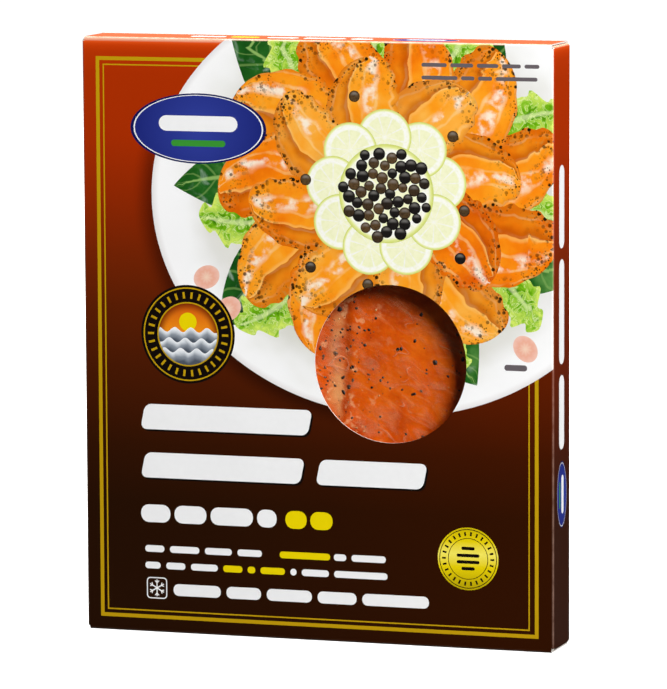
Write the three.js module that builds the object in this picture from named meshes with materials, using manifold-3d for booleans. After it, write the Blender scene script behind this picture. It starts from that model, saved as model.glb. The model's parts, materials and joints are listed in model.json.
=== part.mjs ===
// A flat upright carton of sliced smoked salmon, in millimetres.
// +Z is up, the front panel looks along -Y, and the origin is the middle of the base.
import * as THREE from "three";
import { mergeVertices } from "three/addons/utils/BufferGeometryUtils.js";
import Module from "manifold-3d";

// Carton
const WIDTH = 180;
const DEPTH = 21;
const HEIGHT = 220;
const BOARD = 0.5;
const FOLD_RADIUS = 0.8;
const FOLD_STEPS = 4;
const FLAP_GAP = 0.3;
const TUCK_LENGTH = 15;
const DUST_FLAP_LENGTH = 32;

// Window in the front panel, right of the middle and below half height
const WINDOW_RADIUS = 28.9;
const WINDOW_X = 28.3;
const WINDOW_Z = 103;
const WINDOW_SIDES = 96;

// Vacuum pack of slices, standing in the carton against its back
const PACK_WIDTH = 174;
const PACK_BACK_Y = 8.9;
const PACK_FRONT_Y = -3;
const SEAL_THICKNESS = 1.8;
const SEAL_WIDTH = 5;
const SHOULDER = 26;

// Slices in the pack: each one's left edge lies on the slice before it
const SLICES = [
  { x: -62, lean: 0.1, wave: 2.4, length: 23, phase: 0.4 },
  { x: -33, lean: 0.05, wave: 2.0, length: 19, phase: 1.9 },
  { x: -9, lean: 0.12, wave: 1.8, length: 17, phase: 4.1 },
  { x: 8.5, lean: 0.08, wave: 1.3, length: 13, phase: 2.2 },
  { x: 52, lean: -0.16, wave: 2.2, length: 21, phase: 0.9 },
];
const SLICE_STEP = 1.1;
const SLICE_ROUND = 1.6;
const SWELL = 0.35;
const SWELL_ACROSS = 11;
const SWELL_UP = 13;

// Grid of the pack's front: fine behind the window, coarse where the panel covers it
const FINE_HALF = 38;
const FINE_CELL_X = 1.5;
const FINE_CELL_Z = 3;
const COARSE_CELL = 9;

// Crushed pepper on the slices behind the window
const FLAKE_TRIES = 210;
const FLAKE_SPREAD = 34;
const FLAKE_BAND_X = 7;
const FLAKE_BAND_WIDTH = 13;
const FLAKE_RARE = 0.17;
const FLAKE_LENGTH = [0.9, 1.9];
const FLAKE_WIDTH_SHARE = [0.55, 0.95];
const FLAKE_FLATNESS = 0.6;
const FLAKE_TILT = 0.25;

const { lerp, smoothstep } = THREE.MathUtils;
const wasm = await Module();
wasm.setup();

// Closed geometry as a solid that can be joined and cut.
function solid(geometry) {
  const bare = geometry.clone();
  bare.deleteAttribute("normal");
  bare.deleteAttribute("uv");
  const merged = mergeVertices(bare, 1e-4);
  return new wasm.Manifold(
    new wasm.Mesh({
      numProp: 3,
      vertProperties: merged.attributes.position.array,
      triVerts: new Uint32Array(merged.index.array),
    }),
  );
}

// A joined or cut solid as geometry again.
function geometryOf(made) {
  const mesh = made.getMesh();
  const geometry = new THREE.BufferGeometry();
  geometry.setAttribute("position", new THREE.BufferAttribute(mesh.vertProperties, 3));
  geometry.setIndex(new THREE.BufferAttribute(mesh.triVerts, 1));
  geometry.computeVertexNormals();
  return geometry;
}

// Points of a quarter-turn fold at a corner, for a board that comes along one direction and leaves
// along another, at a radius from the fold's own centre.
function foldPoints(corner, coming, leaving, radius) {
  const centre = corner
    .clone()
    .addScaledVector(coming, -FOLD_RADIUS)
    .addScaledVector(leaving, FOLD_RADIUS);
  return Array.from({ length: FOLD_STEPS + 1 }, (_, i) => {
    const turn = ((Math.PI / 2) * i) / FOLD_STEPS;
    return centre
      .clone()
      .addScaledVector(leaving, -radius * Math.cos(turn))
      .addScaledVector(coming, radius * Math.sin(turn));
  });
}

// One face of a folded board: the outer face at offset 0, the inner one a board's thickness in.
function faceLine(corners, offset) {
  const line = [];
  corners.forEach((corner, i) => {
    const before = corners[i - 1] ?? corner;
    const after = corners[i + 1] ?? corner;
    const coming = corner.clone().sub(before).normalize();
    const leaving = after.clone().sub(corner).normalize();
    if (i === 0 || i === corners.length - 1) {
      const along = i === 0 ? leaving : coming;
      const inward = new THREE.Vector2(-along.y, along.x);
      line.push(corner.clone().addScaledVector(inward, offset));
    } else {
      line.push(...foldPoints(corner, coming, leaving, FOLD_RADIUS - offset));
    }
  });
  return line;
}

// A board that folds to the left at each corner, seen from its edge.
function foldedBoard(points) {
  const corners = points.map(([u, v]) => new THREE.Vector2(u, v));
  return new THREE.Shape([...faceLine(corners, 0), ...faceLine(corners, BOARD).reverse()]);
}

function extrude(shape, length) {
  return new THREE.ExtrudeGeometry(shape, { depth: length, bevelEnabled: false });
}

// A profile drawn in y and z, swept along X and centred on it.
function sweepAlongX(shape, length) {
  const turned = new THREE.Matrix4().makeBasis(
    new THREE.Vector3(0, 1, 0),
    new THREE.Vector3(0, 0, 1),
    new THREE.Vector3(1, 0, 0),
  );
  return extrude(shape, length)
    .applyMatrix4(turned)
    .translate(-length / 2, 0, 0);
}

// A profile drawn in x and z, swept along Y from one place to another.
function sweepAlongY(shape, from, to) {
  return extrude(shape, to - from)
    .rotateX(Math.PI / 2)
    .translate(0, to, 0);
}

// The tube of front, sides and back, between the flaps' folds.
function sleeve(low, high) {
  const ring = (inset) => {
    const x = WIDTH / 2;
    const y = DEPTH / 2;
    const corners = [
      [-x, -y],
      [x, -y],
      [x, y],
      [-x, y],
    ].map(([u, v]) => new THREE.Vector2(u, v));
    return corners.flatMap((corner, i) => {
      const coming = corner.clone().sub(corners[(i + 3) % 4]).normalize();
      const leaving = corners[(i + 1) % 4].clone().sub(corner).normalize();
      return foldPoints(corner, coming, leaving, FOLD_RADIUS - inset);
    });
  };
  const outline = new THREE.Shape(ring(0));
  outline.holes.push(new THREE.Path(ring(BOARD)));
  return extrude(outline, high - low).translate(0, 0, low);
}

// Front panel with the closing panel and the tuck flap at its top and at its bottom.
function frontWithClosures() {
  const front = -DEPTH / 2;
  const rear = DEPTH / 2 - BOARD - FLAP_GAP;
  const profile = foldedBoard([
    [rear, HEIGHT - TUCK_LENGTH],
    [rear, HEIGHT],
    [front, HEIGHT],
    [front, 0],
    [rear, 0],
    [rear, TUCK_LENGTH],
  ]);
  return sweepAlongX(profile, WIDTH - 2 * FOLD_RADIUS);
}

// Left side panel with its dust flaps, which lie just inside the closing panels.
function sideWithDustFlaps() {
  const outside = -WIDTH / 2;
  const flapEnd = outside + DUST_FLAP_LENGTH;
  const low = BOARD + FLAP_GAP;
  const high = HEIGHT - low;
  const profile = foldedBoard([
    [flapEnd, high],
    [outside, high],
    [outside, low],
    [flapEnd, low],
  ]);
  const from = -DEPTH / 2 + FOLD_RADIUS;
  const to = DEPTH / 2 - 2 * (BOARD + FLAP_GAP);
  return sweepAlongY(profile, from, to);
}

function backPanel() {
  return new THREE.BoxGeometry(WIDTH - 2 * FOLD_RADIUS, BOARD, HEIGHT).translate(
    0,
    (DEPTH - BOARD) / 2,
    HEIGHT / 2,
  );
}

function windowPunch() {
  return new THREE.CylinderGeometry(WINDOW_RADIUS, WINDOW_RADIUS, 4 * BOARD, WINDOW_SIDES).translate(
    WINDOW_X,
    (BOARD - DEPTH) / 2,
    WINDOW_Z,
  );
}

function carton() {
  const fold = BOARD + FLAP_GAP + FOLD_RADIUS;
  const side = solid(sideWithDustFlaps());
  return solid(sleeve(fold, HEIGHT - fold))
    .add(solid(frontWithClosures()))
    .add(solid(backPanel()))
    .add(side)
    .add(side.mirror([1, 0, 0]))
    .subtract(solid(windowPunch()));
}

// How far the slices stand above the pack's mean front: a step at each slice's rounded left edge,
// level again before the next one, and a slow swell.
function sliceRelief(x, z) {
  const rise = z - WINDOW_Z;
  const edges = SLICES.map((s) => s.x + s.lean * rise + s.wave * Math.sin(rise / s.length + s.phase));
  let height = 0;
  edges.forEach((edge, i) => {
    const next = edges[i + 1] ?? PACK_WIDTH / 2;
    const up = smoothstep(x, edge - SLICE_ROUND / 2, edge + SLICE_ROUND / 2);
    const down = 1 - smoothstep(x, edge, next);
    height += SLICE_STEP * up * down;
  });
  const across = Math.sin(x / SWELL_ACROSS + z / (2 * SWELL_UP));
  return height + SWELL * across * Math.cos(z / SWELL_UP - x / (3 * SWELL_ACROSS));
}

// The pack's front: flat sealed margin, rounded shoulder, then the slices' own relief.
function packFront(x, z) {
  const fromEdge = Math.min(PACK_WIDTH / 2 - Math.abs(x), z - packLow, packHigh - z);
  const full = smoothstep(fromEdge, SEAL_WIDTH, SEAL_WIDTH + SHOULDER);
  const thickness = PACK_BACK_Y - PACK_FRONT_Y - SEAL_THICKNESS + sliceRelief(x, z);
  return PACK_BACK_Y - SEAL_THICKNESS - full * thickness;
}

// Grid lines from one edge to the other, closer together behind the window.
function gridLines(from, to, middle, fineCell) {
  const run = (a, b, cell) => {
    const count = Math.ceil((b - a) / cell);
    return Array.from({ length: count }, (_, i) => a + ((b - a) * i) / count);
  };
  return [
    ...run(from, middle - FINE_HALF, COARSE_CELL),
    ...run(middle - FINE_HALF, middle + FINE_HALF, fineCell),
    ...run(middle + FINE_HALF, to, COARSE_CELL),
    to,
  ];
}

const packLow = 2 * (BOARD + FLAP_GAP);
const packHigh = HEIGHT - packLow;
const columns = gridLines(-PACK_WIDTH / 2, PACK_WIDTH / 2, WINDOW_X, FINE_CELL_X);
const rows = gridLines(packLow, packHigh, WINDOW_Z, FINE_CELL_Z);

// Where a place falls between two grid lines: the line before it, and the share of the way on.
function between(lines, value) {
  const after = Math.max(1, lines.findIndex((line) => line > value));
  const before = after - 1;
  return [before, (value - lines[before]) / (lines[after] - lines[before])];
}

// The front as its grid has it, straight across each of a cell's two triangles.
function facetedFront(x, z) {
  const [i, s] = between(columns, x);
  const [j, t] = between(rows, z);
  const corner = (right, up) => packFront(columns[i + right], rows[j + up]);
  const near = corner(0, 0);
  const far = corner(1, 1);
  const side = s > t ? corner(1, 0) : corner(0, 1);
  const [first, second] = s > t ? [s, t] : [t, s];
  return near + first * (side - near) + second * (far - side);
}

// The pack as a closed surface: a relief in front, a flat back, and walls along the margin.
function packBody() {
  const right = columns.length - 1;
  const top = rows.length - 1;
  const points = [];
  rows.forEach((z) => columns.forEach((x) => points.push(x, packFront(x, z), z)));
  const at = (i, j) => j * columns.length + i;
  const faces = [];
  for (let j = 0; j < top; j++) {
    for (let i = 0; i < right; i++) {
      faces.push(at(i, j), at(i + 1, j), at(i + 1, j + 1));
      faces.push(at(i, j), at(i + 1, j + 1), at(i, j + 1));
    }
  }
  const border = [];
  for (let i = 0; i < right; i++) border.push(at(i, 0));
  for (let j = 0; j < top; j++) border.push(at(right, j));
  for (let i = right; i > 0; i--) border.push(at(i, top));
  for (let j = top; j > 0; j--) border.push(at(0, j));
  const behind = points.length / 3;
  border.forEach((v) => points.push(points[3 * v], PACK_BACK_Y, points[3 * v + 2]));
  const centre = points.length / 3;
  points.push(0, PACK_BACK_Y, HEIGHT / 2);
  border.forEach((v, k) => {
    const after = (k + 1) % border.length;
    faces.push(border[after], v, behind + k);
    faces.push(border[after], behind + k, behind + after);
    faces.push(behind + after, behind + k, centre);
  });
  const geometry = new THREE.BufferGeometry();
  geometry.setAttribute("position", new THREE.Float32BufferAttribute(points, 3));
  geometry.setIndex(faces);
  return geometry;
}

// A scattered number from 0 to 1, always the same for the same flake and the same question.
function chance(k, question) {
  const spun = Math.sin(k * 12.9898 + question * 78.233) * 43758.5453;
  return spun - Math.floor(spun);
}

// Pepper lies thick along the edge of one slice and thin elsewhere.
function pepperAt(x) {
  const away = (x - FLAKE_BAND_X) / FLAKE_BAND_WIDTH;
  return FLAKE_RARE + (1 - FLAKE_RARE) * Math.exp(-away * away);
}

// One flake, half sunk in the front, or nothing where this try falls outside or where it is sparse.
function flake(k) {
  const x = WINDOW_X + FLAKE_SPREAD * (2 * chance(k, 1) - 1);
  const z = WINDOW_Z + FLAKE_SPREAD * (2 * chance(k, 2) - 1);
  const inside = Math.hypot(x - WINDOW_X, z - WINDOW_Z) < FLAKE_SPREAD;
  if (!inside || chance(k, 3) > pepperAt(x)) return null;
  const length = lerp(...FLAKE_LENGTH, chance(k, 4) ** 2);
  const width = length * lerp(...FLAKE_WIDTH_SHARE, chance(k, 5));
  return new THREE.IcosahedronGeometry(0.5, 0)
    .scale(length, width * FLAKE_FLATNESS, width)
    .rotateY(Math.PI * chance(k, 6))
    .rotateX(FLAKE_TILT * (2 * chance(k, 7) - 1))
    .translate(x, facetedFront(x, z), z);
}

function salmonPack() {
  let made = solid(packBody());
  for (let k = 1; k <= FLAKE_TRIES; k++) {
    const grain = flake(k);
    if (grain) made = made.add(solid(grain));
  }
  return made;
}

const boardPrint = new THREE.MeshStandardMaterial({ color: 0x7a2c0c, roughness: 0.35, metalness: 0 });
const smokedFish = new THREE.MeshStandardMaterial({ color: 0xc4501e, roughness: 0.3, metalness: 0 });

function node(name, made, material) {
  const mesh = new THREE.Mesh(geometryOf(made), material);
  mesh.name = name;
  return mesh;
}

const pack = new THREE.Group();
pack.add(node("carton", carton(), boardPrint));
pack.add(node("salmon", salmonPack(), smokedFish));

export default pack;
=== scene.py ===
# %% [markdown]
# A carton of smoked salmon, dressed
#
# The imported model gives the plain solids: a folded carton with a round window, and the vacuum pack
# behind it. This lesson gives them their looks. The pieces' sizes are in millimetres and become metres
# only when a mesh is made, because a carton maker works in millimetres.

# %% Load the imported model
import json

import bpy
import numpy as np
from mathutils import Euler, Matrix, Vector
from mathutils.geometry import delaunay_2d_cdt


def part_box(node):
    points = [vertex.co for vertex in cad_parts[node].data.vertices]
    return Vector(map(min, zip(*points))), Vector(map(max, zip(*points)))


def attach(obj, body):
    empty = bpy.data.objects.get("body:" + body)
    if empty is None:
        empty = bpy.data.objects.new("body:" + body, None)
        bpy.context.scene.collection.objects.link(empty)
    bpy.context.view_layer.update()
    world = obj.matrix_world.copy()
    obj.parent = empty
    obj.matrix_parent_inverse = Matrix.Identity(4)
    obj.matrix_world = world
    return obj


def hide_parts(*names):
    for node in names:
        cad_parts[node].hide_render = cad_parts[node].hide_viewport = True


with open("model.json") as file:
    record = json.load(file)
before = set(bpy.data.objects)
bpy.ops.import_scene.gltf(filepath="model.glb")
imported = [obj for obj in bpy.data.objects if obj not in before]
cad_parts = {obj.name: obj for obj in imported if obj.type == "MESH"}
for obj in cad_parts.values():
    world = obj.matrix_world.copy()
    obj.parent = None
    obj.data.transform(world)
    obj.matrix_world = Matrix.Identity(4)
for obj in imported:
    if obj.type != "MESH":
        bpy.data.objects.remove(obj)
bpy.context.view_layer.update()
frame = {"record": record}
MM = 0.001


def box_mm(node):
    """A node's lowest and highest corners, in millimetres."""
    return [np.array(corner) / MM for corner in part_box(node)]


carton_low, carton_high = box_mm("carton")
WIDTH, DEPTH, HEIGHT = carton_high - carton_low
opening = np.array(frame["record"]["physics"]["openings"][0]["box_m"]) / MM
WINDOW_X, _, WINDOW_Z = opening.mean(axis=0)
WINDOW_RADIUS = 28.9
print("carton", WIDTH, DEPTH, HEIGHT, "window at", WINDOW_X, WINDOW_Z)

# %% [markdown]
# The camera and the light
#
# The photograph was taken from a little to the right and a little above, with a long lens, so that the
# carton's edges stay almost parallel. A large soft lamp from the upper right puts the shade of the
# window's rim on the fish. A room that is white for light too would veil the dark inks with its
# reflection, so this one is white only to the eye, and four lamps do the lighting. A weak wide one low
# behind the carton is there for the sheen that the photograph shows on the top panel.

# %% Set the camera, the lamps and the room
CAMERA_PLACE = (0.6341, -1.8828, 0.3521)
CAMERA_TURN = (82.995, 0.268, 18.493)
LENS_MM = 286.07
CARTON_MIDDLE = (0, 0, 0.11)
DIM_ROOM = 0.01
scene = bpy.context.scene
scene.view_settings.view_transform = "Standard"

camera_data = bpy.data.cameras.new("camera")
camera_data.lens = LENS_MM
camera_data.sensor_width = 36
camera_data.clip_end = 20
camera = bpy.data.objects.new("camera", camera_data)
camera.location = CAMERA_PLACE
camera.rotation_euler = Euler(np.radians(CAMERA_TURN))
scene.collection.objects.link(camera)
scene.camera = camera


def lamp(name, place, size, power):
    """A square area lamp at a place, turned so that it shines at the carton's middle."""
    data = bpy.data.lights.new(name, "AREA")
    data.size = size
    data.energy = power
    made = bpy.data.objects.new(name, data)
    made.location = place
    x, y, z = np.array(CARTON_MIDDLE) - np.array(place)
    made.rotation_euler = (np.arctan2(np.hypot(x, y), -z), 0, np.arctan2(-x, y))
    scene.collection.objects.link(made)


lamp("key", (1.42, -1.2, 1.17), 0.9, 70)
lamp("top", (-0.15, 0.25, 1.5), 0.9, 31)
lamp("left fill", (-1.9, 0.0, 0.7), 1.0, 14)
lamp("rear", (-1.7, 1.4, 1.0), 1.2, 50)
lamp("sheen", (-0.62, 1.88, 0.48), 1.0, 0.9)


def white_room():
    """The room: white to the eye, and dim for light and gloss, so that the inks keep their depth."""
    world = bpy.data.worlds.new("white room")
    world.use_nodes = True
    nodes, links = world.node_tree.nodes, world.node_tree.links
    brightness = nodes.new("ShaderNodeMix")
    brightness.inputs[2].default_value = DIM_ROOM
    brightness.inputs[3].default_value = 1.0
    links.new(nodes.new("ShaderNodeLightPath").outputs["Is Camera Ray"], brightness.inputs[0])
    links.new(brightness.outputs[0], nodes["Background"].inputs["Strength"])
    nodes["Background"].inputs["Color"].default_value = (1, 1, 1, 1)
    return world


scene.world = white_room()

# %% [markdown]
# Putting arrays into meshes and patterns into materials
#
# Two helpers serve the whole lesson. One makes a mesh from arrays of corners and faces. The other builds
# a material with one short call for each shader node, and can lay one colour over another as a printer
# lays inks.


# %% Mesh and material helpers
def make_mesh(name, points_mm, faces):
    """A new mesh object from points in millimetres and faces as rows of point numbers."""
    mesh = bpy.data.meshes.new(name)
    mesh.from_pydata((np.asarray(points_mm) * MM).tolist(), [], [list(face) for face in faces])
    mesh.validate()
    made = bpy.data.objects.new(name, mesh)
    scene.collection.objects.link(made)
    return made


def linear(rgb, light=1.0):
    """A printed colour, 0 to 255 for each channel, as the linear colour that shaders use, with its
    light multiplied."""
    share = np.array(rgb, float) / 255
    curved = np.where(share < 0.04045, share / 12.92, ((share + 0.055) / 1.055) ** 2.4)
    return (*(light * curved), 1.0)


class Shader:
    """A material's node tree, with one short call for each node. Colours are printed ones, 0 to 255
    for each channel, and a pattern lies on the solid unless it's told another place."""

    def __init__(self, name):
        self.material = bpy.data.materials.new(name)
        self.material.use_nodes = True
        self.nodes = self.material.node_tree.nodes
        self.solid = self.place = self.add("TexCoord", out="Object")

    def put(self, socket, value):
        """Links a socket to another node's output, or sets its value."""
        if isinstance(value, bpy.types.NodeSocket):
            self.material.node_tree.links.new(value, socket)
        elif socket.type == "RGBA" and len(value) == 3:
            socket.default_value = linear(value)
        else:
            socket.default_value = value

    def add(self, kind, fields=None, sockets=None, out=0):
        """One node with its fields set and its sockets fed. Returns one of its outputs."""
        node = self.nodes.new("ShaderNode" + kind)
        for field, value in (fields or {}).items():
            setattr(node, field, value)
        for key, value in (sockets or {}).items():
            self.put(node.inputs[key], value)
        return node.outputs[out]

    def parts(self, vector):
        """A vector's three parts."""
        return self.add("SeparateXYZ", None, {0: vector}, out=slice(3))

    def attribute(self, name, out="Fac"):
        return self.add("Attribute", {"attribute_name": name}, out=out)

    def math(self, operation, first, second=0.0, third=0.0):
        return self.add("Math", {"operation": operation}, {0: first, 1: second, 2: third})

    def scaled(self, value, factor, more):
        """The value times the factor, and more."""
        return self.math("MULTIPLY_ADD", value, factor, more)

    def times(self, product, *factors):
        for factor in factors:
            product = self.math("MULTIPLY", product, factor)
        return product

    def most(self, largest, *others):
        for other in others:
            largest = self.math("MAXIMUM", largest, other)
        return largest

    def off(self, value, middle=0.0):
        """How far a value is from the middle, on either side."""
        return self.math("ABSOLUTE", self.math("SUBTRACT", value, middle))

    def distance(self, first, second):
        return self.add("VectorMath", {"operation": "DISTANCE"}, {0: first, 1: second}, out="Value")

    def grey(self, share, low, high):
        """0 where share is under low, 1 where it is over high. With low over high it falls instead."""
        return self.add("MapRange", {"interpolation_type": "SMOOTHSTEP"}, {0: share, 1: low, 2: high})

    def mix(self, share, first, second, blend="MIX"):
        """Between two colours: the first at share 0 and the second at share 1."""
        fields = {"data_type": "RGBA", "blend_type": blend}
        return self.add("Mix", fields, {0: share, 6: first, 7: second}, out=2)

    def layers(self, colour, *above):
        """A colour with others laid over it in turn, each as (colour, share, share ...), where the
        shares are multiplied."""
        for over, *shares in above:
            colour = self.mix(self.times(*shares), colour, over)
        return colour

    def ramp(self, share, *stops):
        """A colour from stops of (share, colour)."""
        node = self.nodes.new("ShaderNodeValToRGB")
        elements = node.color_ramp.elements
        while len(elements) < len(stops):
            elements.new(1.0)
        for element, (place, colour) in zip(elements, stops):
            element.position = place
            element.color = linear(colour)
        self.put(node.inputs[0], share)
        return node.outputs[0]

    def noise(self, scale, detail=2.0, at=None, **more):
        vector = self.place if at is None else at
        return self.add("TexNoise", None, {"Vector": vector, "Scale": scale, "Detail": detail, **more})

    def streaks(self, turn, along, across):
        """The place turned about Y and then scaled, so that noise at scale 1 runs in streaks."""
        turned = self.add("Mapping", None, {"Vector": self.place, "Rotation": (0, turn, 0)})
        return self.add("Mapping", None, {"Vector": turned, "Scale": (along, along, across)})

    def bump(self, strength, distance, height):
        return self.add("Bump", None, {"Strength": strength, "Distance": distance, "Height": height})

    def finish(self, **sockets):
        """Feeds the surface's own sockets by name, with _ for a space. Returns the material."""
        for key, value in sockets.items():
            self.put(self.nodes["Principled BSDF"].inputs[key.replace("_", " ")], value)
        return self.material


# %% [markdown]
# One sheet of board
#
# A real carton is printed and cut as one flat blank and folded afterwards. The same order works here.
# Every picture and line is laid out on the flat blank, where it is a plain outline in two dimensions,
# and one function then bends the finished sheet round its folds. Nothing has to be projected onto the
# box, and a print that runs over a fold does so by itself.
#
# The sheet runs along a line of straight spans and quarter turns. The blank's u goes round the sleeve,
# from 0 at the front's left edge to the width at its right edge, and v is the height.

# %% Lay out the folds
BOARD = 0.5
FOLD = 0.8
GAP = 0.3
TUCK = 15
DUST_FLAP = 32
GLUE_FLAP = 12
SEAM_GAP = 0.05
PLAY = 0.1
QUARTER = FOLD * np.pi / 2
FOLD_STRIPS = 6


def ray(angle):
    """The unit vector at an angle, or one row for each of several angles."""
    return np.stack([np.cos(angle), np.sin(angle)], axis=-1)


def arc(along, bend):
    """How far ahead and how far to the left a path gets that turns by bend for each millimetre:
    sin(turn) / bend and (1 - cos(turn)) / bend."""
    if bend == 0:
        return along, 0 * along
    return np.sin(bend * along) / bend, (1 - np.cos(bend * along)) / bend


def follow(distance, place, heading, spans):
    """Points and headings at distances along spans of (length, bend), each going on from the last."""
    place = np.array(place, float)
    begin = 0.0
    points = np.zeros((len(distance), 2))
    headings = np.zeros(len(distance))
    for length, bend in spans:
        here = (distance >= begin) | (begin == 0.0)
        along = np.minimum(distance[here] - begin, length)
        forward = ray(heading)
        left = np.array([-forward[1], forward[0]])
        ahead, aside = arc(along, bend)
        points[here] = place + ahead[:, None] * forward + aside[:, None] * left
        headings[here] = heading + bend * along
        ahead, aside = arc(length, bend)
        place = place + ahead * forward + aside * left
        heading += bend * length
        begin += length
    return points, headings


turn_left = (QUARTER, 1 / FOLD)
turn_right = (QUARTER, -1 / FOLD)
ROUND_SPANS = [
    (GLUE_FLAP - FOLD, 0),
    turn_left,
    (DEPTH - BOARD - SEAM_GAP - 2 * FOLD, 0),
    turn_left,
    (WIDTH - 2 * FOLD, 0),
    turn_left,
    (DEPTH - 2 * FOLD, 0),
    turn_left,
    (WIDTH - FOLD - PLAY, 0),
]
span_ends = np.cumsum([length for length, _ in ROUND_SPANS])
U_START = FOLD - span_ends[3]
glue_end, left_start, left_end, front_start, front_end, right_start, right_end, back_start, back_end = (
    span_ends + U_START
)

LOW = BOARD + GAP
NOTCH = LOW + FOLD
closure = DEPTH - BOARD - GAP - 2 * FOLD
tuck_end = [(TUCK - FOLD, 0), turn_right, (closure, 0), turn_right]
FRONT_SPANS = [*tuck_end, (HEIGHT - 2 * FOLD, 0), *reversed(tuck_end)]
front_low = FOLD - sum(length for length, _ in tuck_end)
dust_end = [(DUST_FLAP - FOLD, 0), turn_right]
SIDE_SPANS = [*dust_end, (HEIGHT - 2 * NOTCH, 0), *reversed(dust_end)]
side_low = NOTCH - sum(length for length, _ in dust_end)
print("blank", round(back_end - U_START, 1), "by", round(HEIGHT - 2 * front_low, 1))

# %% Bend the sheet
FRONT_SAG, BACK_SAG, SIDE_SAG = 0.28, 0.4, 0.08
NEAR = 1e-4


def fold_sheet(blank, depth=0.0):
    """Where points of the blank lie on the folded carton, and which way the board faces there. Round
    the sleeve a point follows u, and up the panel it follows v, where it may lean inwards over a flap's
    fold. Depth moves it inwards through the board."""
    u, v = np.asarray(blank, float).T
    start = (GLUE_FLAP - WIDTH / 2, DEPTH / 2 - BOARD - SEAM_GAP)
    ring, heading = follow(u - U_START, start, np.pi, ROUND_SPANS)
    outward = np.column_stack([np.sin(heading), -np.cos(heading)])
    inward = np.zeros(len(u))
    height = v.copy()
    climb = np.full(len(u), np.pi / 2)
    front = (u > front_start) & (u < front_end)
    side = (u > left_start - NEAR) & (u < left_end + NEAR)
    side |= (u > right_start - NEAR) & (u < right_end + NEAR)
    rear = DEPTH - BOARD - GAP
    for panel, spans, low, place, way in (
        (front, FRONT_SPANS, front_low, (rear, TUCK), -np.pi / 2),
        (side, SIDE_SPANS, side_low, (DUST_FLAP, LOW), np.pi),
    ):
        points, headings = follow(v[panel] - low, place, way, spans)
        inward[panel], height[panel] = points.T
        climb[panel] = headings
    facing = np.column_stack([outward * np.sin(climb)[:, None], np.cos(climb)])
    place = np.column_stack([ring - outward * inward[:, None], height])
    dip, slope_u, slope_v = bow(u, v)
    along_u = np.column_stack([np.cos(heading), np.sin(heading), 0 * u])
    along_v = np.column_stack([-outward * np.cos(climb)[:, None], np.sin(climb)])
    tilted = facing + slope_u[:, None] * along_u + slope_v[:, None] * along_v
    tilted /= np.linalg.norm(tilted, axis=1)[:, None]
    return place - facing * (depth + dip)[:, None], tilted


def bow(u, v):
    """How far a panel sags inwards between its folds, and the slope of that. Across a panel it is the
    square of sin(pi share), so that it leaves the folds level, and the same up it."""
    dip, slope_u, slope_v = np.zeros((3, len(u)))
    tall = HEIGHT - 2 * FOLD
    for first, last, sag in (
        (front_start, front_end, FRONT_SAG),
        (back_start, back_end, BACK_SAG),
        (left_start, left_end, SIDE_SAG),
        (right_start, right_end, SIDE_SAG),
    ):
        here = (u > first) & (u < last) & (v > FOLD) & (v < HEIGHT - FOLD)
        wide = last - first
        across, up = np.pi * (u[here] - first) / wide, np.pi * (v[here] - FOLD) / tall
        dip[here] = sag * np.sin(across) ** 2 * np.sin(up) ** 2
        slope_u[here] = sag * np.sin(2 * across) * np.pi / wide * np.sin(up) ** 2
        slope_v[here] = sag * np.sin(2 * up) * np.pi / tall * np.sin(across) ** 2
    return dip, slope_u, slope_v


# %% [markdown]
# The blank's outline and its folds
#
# The cutting die gives the blank its outline: a glue flap, two sides with dust flaps, the front with
# its closing panels and tuck flaps, and the back. The window is a round hole. Each fold is six narrow
# strips, which is enough for a smooth highlight on a fold less than a millimetre round.

# %% Draw the outline
LEFT_PLAY, RIGHT_PLAY = 0.3, 0.5
LEFT_FLAP = (left_start + LEFT_PLAY, left_end)
RIGHT_FLAP = (right_start, right_end - RIGHT_PLAY)
CLOSING_FLAP = (front_start + PLAY, front_end - PLAY)
TAPER = 4.0
GLUE_TAPER = (9, 3)


def flap(span, root, low):
    """A flap's outline, from its root down to its free edge with tapered corners and up again."""
    a, b = span
    return [(a, root), (a, low + TAPER), (a + TAPER, low), (b - TAPER, low), (b, low + TAPER), (b, root)]


def circle(centre, radius, count=64, squash=1.0, turn=0.0):
    """Points round a circle, or round an ellipse when squashed and turned."""
    angle = np.linspace(0, 2 * np.pi, count, endpoint=False)
    x, y = radius * np.cos(angle), radius * squash * np.sin(angle)
    c, s = np.cos(turn), np.sin(turn)
    return np.column_stack([centre[0] + c * x - s * y, centre[1] + s * x + c * y])


bottom_edge = np.array(
    [
        (U_START, NOTCH + GLUE_TAPER[0]),
        (glue_end, NOTCH + GLUE_TAPER[1]),
        (left_start, NOTCH),
        *flap(LEFT_FLAP, NOTCH, side_low),
        (front_start, NOTCH),
        *flap(CLOSING_FLAP, FOLD, front_low),
        (front_end, NOTCH),
        *flap(RIGHT_FLAP, NOTCH, side_low),
        (right_end, NOTCH),
        (back_start, NOTCH),
        (back_start + PLAY, 0),
        (back_end, 0),
    ]
)
top_edge = np.column_stack([bottom_edge[::-1, 0], HEIGHT - bottom_edge[::-1, 1]])
blank_outline = np.vstack([bottom_edge, top_edge])
window_outline = circle((WINDOW_X + WIDTH / 2, WINDOW_Z), WINDOW_RADIUS, 144)


def fold_lines():
    """Pairs of end points of the lines that split each fold into strips."""
    steps = np.linspace(0, QUARTER, FOLD_STRIPS + 1)
    lines = []
    for first in (glue_end, left_end, front_end, right_end):
        lines += [((first + step, NOTCH), (first + step, HEIGHT - NOTCH)) for step in steps]
    for (first, last), folds in (
        (CLOSING_FLAP, (FOLD, FOLD - QUARTER - closure)),
        (LEFT_FLAP, (NOTCH,)),
        (RIGHT_FLAP, (NOTCH,)),
    ):
        for level in (top - step for top in folds for step in steps):
            lines += [((first, level), (last, level))]
            lines += [((first, HEIGHT - level), (last, HEIGHT - level))]
    return lines


print("fold lines", len(fold_lines()))

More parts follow.
